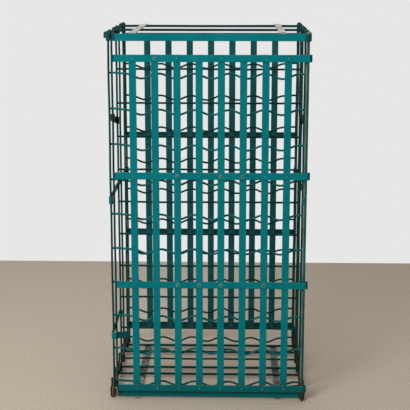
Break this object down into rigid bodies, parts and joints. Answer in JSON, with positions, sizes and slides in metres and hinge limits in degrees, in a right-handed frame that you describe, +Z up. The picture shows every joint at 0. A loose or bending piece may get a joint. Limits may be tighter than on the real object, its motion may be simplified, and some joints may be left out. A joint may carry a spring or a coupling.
{
  "type": "wine cage",
  "caption": "Upright wire cage for lying bottles: flat strip door hinged on a rod, waved shelf wires, hooked side uprights, riveted back grille.",
  "frame": {"origin": "midway across and midway back on the floor, under the middle of the whole cage", "axes": "+X to the right seen from the door, +Y from the door to the back, +Z up"},
  "size_m": [0.571, 0.4984, 1.0671],
  "materials": {
    "strip_paint": "worn satin teal paint",
    "wire_paint": "worn satin dark green paint"
  },
  "bodies": {
    "cage": {"front_wave_wire_01": "wire_paint", "front_wave_wire_02": "wire_paint", "front_wave_wire_03": "wire_paint", "front_wave_wire_04": "wire_paint", "front_wave_wire_05": "wire_paint", "front_wave_wire_06": "wire_paint", "front_wave_wire_07": "wire_paint", "front_wave_wire_08": "wire_paint", "front_wave_wire_09": "wire_paint", "front_wave_wire_10": "wire_paint", "middle_wire_01": "wire_paint", "middle_wire_02": "wire_paint", "middle_wire_03": "wire_paint", "middle_wire_04": "wire_paint", "middle_wire_05": "wire_paint", "middle_wire_06": "wire_paint", "middle_wire_07": "wire_paint", "middle_wire_08": "wire_paint", "middle_wire_09": "wire_paint", "middle_wire_10": "wire_paint", "rear_wave_wire_01": "wire_paint", "rear_wave_wire_02": "wire_paint", "rear_wave_wire_03": "wire_paint", "rear_wave_wire_04": "wire_paint", "rear_wave_wire_05": "wire_paint", "rear_wave_wire_06": "wire_paint", "rear_wave_wire_07": "wire_paint", "rear_wave_wire_08": "wire_paint", "rear_wave_wire_09": "wire_paint", "rear_wave_wire_10": "wire_paint", "left_upright_1": "wire_paint", "left_upright_2": "wire_paint", "left_upright_3": "wire_paint", "left_upright_4": "wire_paint", "left_upright_5": "wire_paint", "right_upright_1": "wire_paint", "right_upright_2": "wire_paint", "right_upright_3": "wire_paint", "right_upright_4": "wire_paint", "right_upright_5": "wire_paint", "left_side_strap": "strip_paint", "right_side_strap": "strip_paint", "lock_strap": "strip_paint", "top_panel": "strip_paint", "base_panel": "strip_paint", "back_panel": "strip_paint", "hinge_rod": "wire_paint"},
    "door": {"door_bar_1": "strip_paint", "door_bar_2": "strip_paint", "door_bar_3": "strip_paint", "door_bar_4": "strip_paint", "door_strip_1": "strip_paint", "door_strip_2": "strip_paint", "door_strip_3": "strip_paint", "door_strip_4": "strip_paint", "door_strip_5": "strip_paint", "door_strip_6": "strip_paint", "door_strip_7": "strip_paint", "door_strip_8": "strip_paint"}
  },
  "joints": [
    {"name": "door_hinge", "type": "hinge", "parent": "cage", "child": "door", "pos_m": [0.27474, -0.24072, 0], "axis": [0, 0, 1], "range_deg": [0, 180]}
  ]
}
